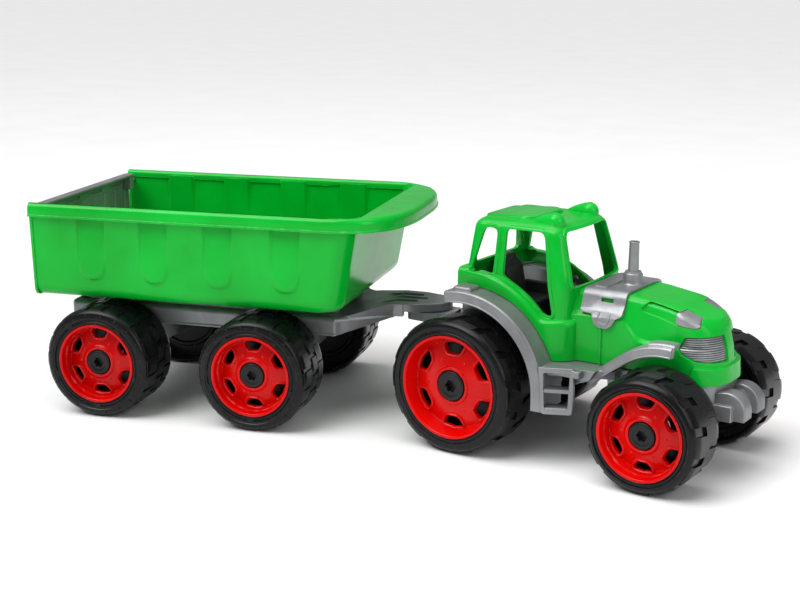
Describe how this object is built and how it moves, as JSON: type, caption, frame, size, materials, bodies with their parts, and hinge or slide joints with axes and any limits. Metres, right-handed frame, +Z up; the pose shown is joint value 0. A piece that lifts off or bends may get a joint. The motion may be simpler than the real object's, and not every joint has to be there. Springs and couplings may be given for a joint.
{
  "type": "toy tractor with trailer",
  "caption": "Moulded plastic toy farm tractor with an open cab, towing a two-axle tipping trailer with a drop tail board.",
  "frame": {"origin": "middle of the toy's footprint box, on the ground, with the trailer turned as it stands at rest", "axes": "+X is the way the tractor points, +Y its left side, +Z up"},
  "size_m": [0.6128, 0.286, 0.184],
  "materials": {
    "green_plastic": "glossy moulded polypropylene",
    "silver_plastic": "satin silver-grey pigmented plastic",
    "dark_plastic": "satin dark grey plastic",
    "tyre_plastic": "satin black hard plastic, hollow behind",
    "black_plastic": "satin black plastic",
    "red_plastic": "glossy red plastic",
    "steel": "plain drawn rod"
  },
  "bodies": {
    "tractor": {"tractor_chassis": "silver_plastic", "body_shell": "green_plastic", "grille_insert": "silver_plastic", "engine_cover": "silver_plastic", "exhaust_pipe": "silver_plastic", "cab_interior": "dark_plastic", "steering_wheel": "dark_plastic", "tractor_rear_axle": "steel", "tractor_front_axle": "steel"},
    "trailer": {"trailer_chassis": "silver_plastic", "tub_hinge_pin": "steel", "trailer_front_axle": "steel", "trailer_rear_axle": "steel"},
    "tub": {"tub": "green_plastic"},
    "tailgate": {"tailgate": "silver_plastic"},
    "tractor_rear_right_wheel": {"tractor_rear_right_tyre": "tyre_plastic", "tractor_rear_right_rim": "red_plastic", "tractor_rear_right_cap": "black_plastic"},
    "tractor_rear_left_wheel": {"tractor_rear_left_tyre": "tyre_plastic", "tractor_rear_left_rim": "red_plastic", "tractor_rear_left_cap": "black_plastic"},
    "tractor_front_right_wheel": {"tractor_front_right_tyre": "tyre_plastic", "tractor_front_right_rim": "red_plastic", "tractor_front_right_cap": "black_plastic"},
    "tractor_front_left_wheel": {"tractor_front_left_tyre": "tyre_plastic", "tractor_front_left_rim": "red_plastic", "tractor_front_left_cap": "black_plastic"},
    "trailer_front_right_wheel": {"trailer_front_right_tyre": "tyre_plastic", "trailer_front_right_rim": "red_plastic", "trailer_front_right_cap": "black_plastic"},
    "trailer_front_left_wheel": {"trailer_front_left_tyre": "tyre_plastic", "trailer_front_left_rim": "red_plastic", "trailer_front_left_cap": "black_plastic"},
    "trailer_rear_right_wheel": {"trailer_rear_right_tyre": "tyre_plastic", "trailer_rear_right_rim": "red_plastic", "trailer_rear_right_cap": "black_plastic"},
    "trailer_rear_left_wheel": {"trailer_rear_left_tyre": "tyre_plastic", "trailer_rear_left_rim": "red_plastic", "trailer_rear_left_cap": "black_plastic"}
  },
  "joints": [
    {"name": "hitch_turn", "type": "hinge", "parent": "tractor", "child": "trailer", "pos_m": [0.01841, 0.05261, 0.086], "axis": [0, 0, 1], "range_deg": [-73.9, 36.1]},
    {"name": "tub_tip", "type": "hinge", "parent": "trailer", "child": "tub", "pos_m": [-0.2588, -0.0423, 0.09], "axis": [0.3239, -0.9461, 0], "range_deg": [0, 50]},
    {"name": "tailgate_swing", "type": "hinge", "parent": "tub", "child": "tailgate", "pos_m": [-0.27062, -0.04635, 0.165], "axis": [-0.3239, 0.9461, 0], "range_deg": [0, 85]},
    {"name": "tractor_rear_right_spin", "type": "hinge", "parent": "tractor", "child": "tractor_rear_right_wheel", "pos_m": [0.09741, 0.05261, 0.053], "axis": [0, 1, 0], "continuous": true},
    {"name": "tractor_rear_left_spin", "type": "hinge", "parent": "tractor", "child": "tractor_rear_left_wheel", "pos_m": [0.09741, 0.05261, 0.053], "axis": [0, 1, 0], "continuous": true},
    {"name": "tractor_front_right_spin", "type": "hinge", "parent": "tractor", "child": "tractor_front_right_wheel", "pos_m": [0.25371, 0.05261, 0.0434], "axis": [0, 1, 0], "continuous": true},
    {"name": "tractor_front_left_spin", "type": "hinge", "parent": "tractor", "child": "tractor_front_left_wheel", "pos_m": [0.25371, 0.05261, 0.0434], "axis": [0, 1, 0], "continuous": true},
    {"name": "trailer_front_right_spin", "type": "hinge", "parent": "trailer", "child": "trailer_front_right_wheel", "pos_m": [-0.09134, 0.01503, 0.0459], "axis": [-0.3239, 0.9461, 0], "continuous": true},
    {"name": "trailer_front_left_spin", "type": "hinge", "parent": "trailer", "child": "trailer_front_left_wheel", "pos_m": [-0.09134, 0.01503, 0.0459], "axis": [-0.3239, 0.9461, 0], "continuous": true},
    {"name": "trailer_rear_right_spin", "type": "hinge", "parent": "trailer", "child": "trailer_rear_right_wheel", "pos_m": [-0.21849, -0.0285, 0.0459], "axis": [-0.3239, 0.9461, 0], "continuous": true},
    {"name": "trailer_rear_left_spin", "type": "hinge", "parent": "trailer", "child": "trailer_rear_left_wheel", "pos_m": [-0.21849, -0.0285, 0.0459], "axis": [-0.3239, 0.9461, 0], "continuous": true}
  ]
}
